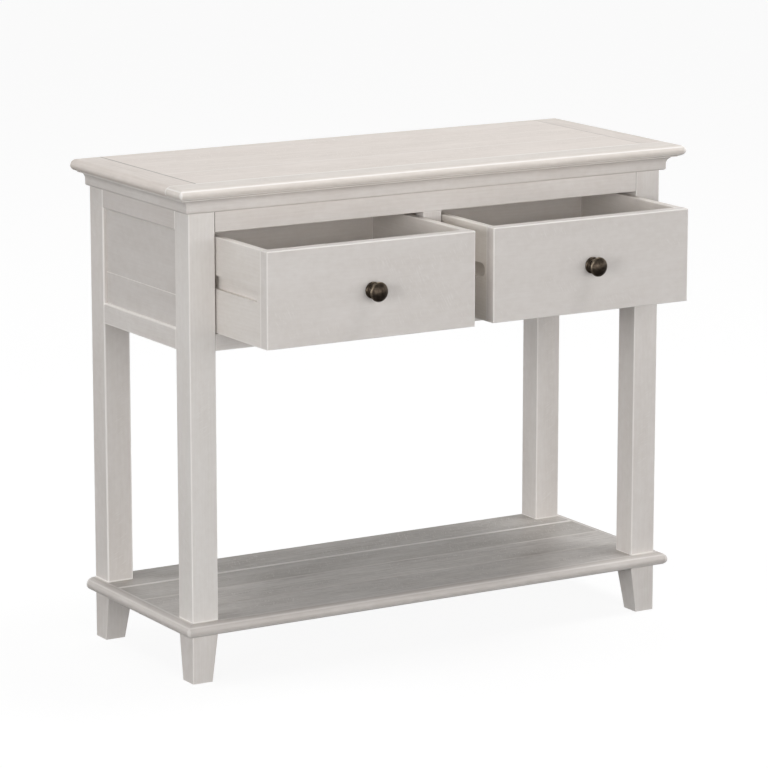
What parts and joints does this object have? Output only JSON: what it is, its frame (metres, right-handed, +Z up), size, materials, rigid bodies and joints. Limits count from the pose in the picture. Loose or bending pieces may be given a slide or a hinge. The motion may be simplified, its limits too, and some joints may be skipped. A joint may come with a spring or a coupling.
{
  "type": "console table",
  "caption": "Narrow whitewashed pine console table with a moulded top, two sliding drawers with round knobs, and a low open shelf on short tapered feet.",
  "frame": {"origin": "bottom centre of the table's outline on the floor, with both drawers standing open", "axes": "+X to the right seen from the front, +Y to the back, +Z up; the drawers open towards -Y"},
  "size_m": [0.925, 0.521, 0.78],
  "materials": {
    "whitewashed_pine": "matt whitewash over brushed pine",
    "whitewashed_plywood": "matt whitewash",
    "bare_beech": "planed, unfinished",
    "antique_brass": "dark antique patina, rubbed on the edges",
    "zinc_steel": "bright zinc plate"
  },
  "bodies": {
    "case": {"back_bottom_rail": "whitewashed_pine", "back_panel": "whitewashed_plywood", "back_top_rail": "whitewashed_pine", "centre_rail": "whitewashed_pine", "front_bottom_rail": "whitewashed_pine", "front_cornice": "whitewashed_pine", "front_divider": "whitewashed_pine", "front_left_foot": "whitewashed_pine", "front_left_leg": "whitewashed_pine", "front_right_foot": "whitewashed_pine", "front_right_leg": "whitewashed_pine", "front_shelf_nosing": "whitewashed_pine", "front_top_rail": "whitewashed_pine", "hanger_bolts": "zinc_steel", "left_cornice": "whitewashed_pine", "left_inner_runner": "bare_beech", "left_lower_side_rail": "whitewashed_pine", "left_outer_runner": "bare_beech", "left_shelf_nosing": "whitewashed_pine", "left_side_panel": "whitewashed_pine", "left_upper_side_rail": "whitewashed_pine", "rail_dowels": "bare_beech", "rear_left_foot": "whitewashed_pine", "rear_left_leg": "whitewashed_pine", "rear_right_foot": "whitewashed_pine", "rear_right_leg": "whitewashed_pine", "right_cornice": "whitewashed_pine", "right_inner_runner": "bare_beech", "right_lower_side_rail": "whitewashed_pine", "right_outer_runner": "bare_beech", "right_shelf_nosing": "whitewashed_pine", "right_side_panel": "whitewashed_pine", "right_upper_side_rail": "whitewashed_pine", "runner_screws": "zinc_steel", "shelf_board_1": "whitewashed_pine", "shelf_board_2": "whitewashed_pine", "shelf_board_3": "whitewashed_pine", "shelf_board_4": "whitewashed_pine", "top_front_board": "whitewashed_pine", "top_inner_board_1": "whitewashed_pine", "top_inner_board_2": "whitewashed_pine", "top_inner_board_3": "whitewashed_pine", "top_left_end_board": "whitewashed_pine", "top_right_end_board": "whitewashed_pine", "top_screws": "zinc_steel"},
    "left_drawer": {"left_drawer_back": "whitewashed_pine", "left_drawer_bottom": "whitewashed_plywood", "left_drawer_front": "whitewashed_pine", "left_drawer_knob": "antique_brass", "left_drawer_knob_screw": "zinc_steel", "left_drawer_left_side": "whitewashed_pine", "left_drawer_right_side": "whitewashed_pine"},
    "right_drawer": {"right_drawer_back": "whitewashed_pine", "right_drawer_bottom": "whitewashed_plywood", "right_drawer_front": "whitewashed_pine", "right_drawer_knob": "antique_brass", "right_drawer_knob_screw": "zinc_steel", "right_drawer_left_side": "whitewashed_pine", "right_drawer_right_side": "whitewashed_pine"}
  },
  "joints": [
    {"name": "left_drawer_slide", "type": "slide", "parent": "case", "child": "left_drawer", "axis": [0, -1, 0], "range_m": [-0.157, 0.043]},
    {"name": "right_drawer_slide", "type": "slide", "parent": "case", "child": "right_drawer", "axis": [0, -1, 0], "range_m": [-0.1495, 0.0505]}
  ]
}
